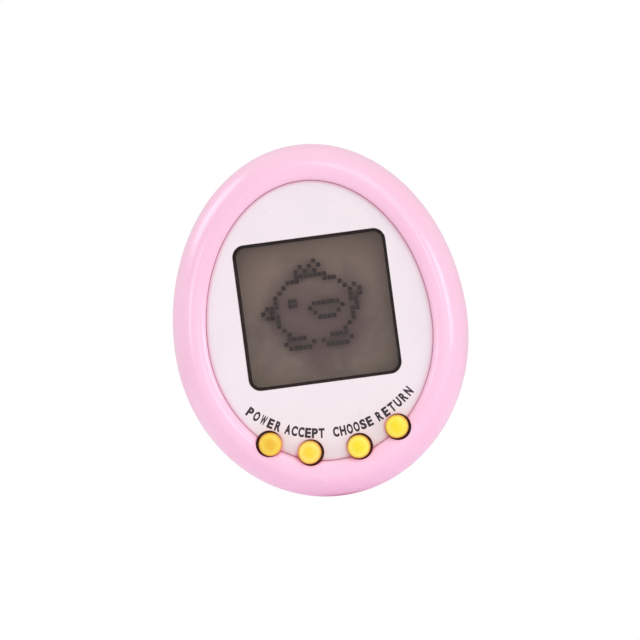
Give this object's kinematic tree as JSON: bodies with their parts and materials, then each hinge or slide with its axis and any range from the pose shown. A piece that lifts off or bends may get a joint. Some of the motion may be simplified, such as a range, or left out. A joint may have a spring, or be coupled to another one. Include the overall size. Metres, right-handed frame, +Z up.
{
  "type": "virtual pet keychain",
  "caption": "Egg-shaped pocket electronic pet with a rounded case, a square screen in an oval face plate, an arc of small push buttons, a rear battery door and a strap bar.",
  "frame": {"origin": "middle of the flat back face, level with the widest line of the egg", "axes": "+Z up, along the egg's long axis towards the strap bar; +Y out of the back; the screen faces -Y; +X to the right seen from the front"},
  "size_m": [0.044, 0.0172, 0.0528],
  "materials": {
    "pink_plastic": "gloss moulded pink",
    "plate_plastic": "satin near-white with a pink cast",
    "yellow_plastic": "semi-gloss yellow",
    "clear_plastic": "clear, polished",
    "lcd_glass": "clear with a grey polariser",
    "reflector": "grey-brown reflective film",
    "black_foam": "closed-cell foam",
    "white_plastic": "matte",
    "zebra_rubber": "striped conductive rubber",
    "board": "green solder mask",
    "epoxy": "black epoxy",
    "silicone": "translucent grey silicone",
    "carbon": "carbon-filled rubber",
    "steel": "plated steel",
    "cell_steel": "nickel plated",
    "brass": "bare brass",
    "ceramic": "silvered ceramic",
    "brown_body": "brown chip body",
    "red_wire": "red insulation",
    "black_wire": "black insulation"
  },
  "bodies": {
    "case": {"front_cover": "pink_plastic", "rear_cover": "pink_plastic", "face_plate": "plate_plastic", "strap_bar": "steel", "screen_lens": "clear_plastic", "screen_gasket": "black_foam", "lcd_front_glass": "lcd_glass", "lcd_rear_glass": "lcd_glass", "lcd_reflector": "reflector", "lcd_frame": "white_plastic", "zebra_strip": "zebra_rubber", "circuit_board": "board", "chip_blob": "epoxy", "crystal_can": "steel", "capacitor_can": "epoxy", "chip_capacitor": "brown_body", "chip_resistor": "epoxy", "sounder_disc": "brass", "sounder_ceramic": "ceramic", "sounder_lead_red": "red_wire", "sounder_lead_black": "black_wire", "battery_left": "cell_steel", "battery_right": "cell_steel", "battery_contact_plus": "steel", "battery_contact_minus": "steel", "power_dome": "silicone", "accept_dome": "silicone", "choose_dome": "silicone", "return_dome": "silicone", "case_screw_top_left": "steel", "case_screw_top_right": "steel", "case_screw_lower_left": "steel", "case_screw_lower_right": "steel", "board_screw_left": "steel", "board_screw_right": "steel"},
    "battery_door": {"battery_door": "pink_plastic", "battery_bridge": "steel"},
    "door_screw": {"battery_door_screw": "steel"},
    "power_key": {"power_button": "yellow_plastic", "power_contact_pill": "carbon"},
    "accept_key": {"accept_button": "yellow_plastic", "accept_contact_pill": "carbon"},
    "choose_key": {"choose_button": "yellow_plastic", "choose_contact_pill": "carbon"},
    "return_key": {"return_button": "yellow_plastic", "return_contact_pill": "carbon"}
  },
  "joints": [
    {"name": "power_press", "type": "slide", "parent": "case", "child": "power_key", "axis": [0, 1, 0], "range_m": [0, 0.00075], "stiffness_N_per_m": 10, "springref_m": -0.0005, "deforming": ["power_dome"]},
    {"name": "accept_press", "type": "slide", "parent": "case", "child": "accept_key", "axis": [0, 1, 0], "range_m": [0, 0.00075], "stiffness_N_per_m": 10, "springref_m": -0.0005, "deforming": ["accept_dome"]},
    {"name": "choose_press", "type": "slide", "parent": "case", "child": "choose_key", "axis": [0, 1, 0], "range_m": [0, 0.00075], "stiffness_N_per_m": 10, "springref_m": -0.0005, "deforming": ["choose_dome"]},
    {"name": "return_press", "type": "slide", "parent": "case", "child": "return_key", "axis": [0, 1, 0], "range_m": [0, 0.00075], "stiffness_N_per_m": 10, "springref_m": -0.0005, "deforming": ["return_dome"]},
    {"name": "battery_door_lift", "type": "slide", "parent": "case", "child": "battery_door", "axis": [0, 1, 0], "range_m": [0, 0.014]},
    {"name": "door_screw_turn", "type": "hinge", "parent": "battery_door", "child": "door_screw", "pos_m": [0, -0.003, -0.0039], "axis": [0, 1, 0], "continuous": true}
  ]
}
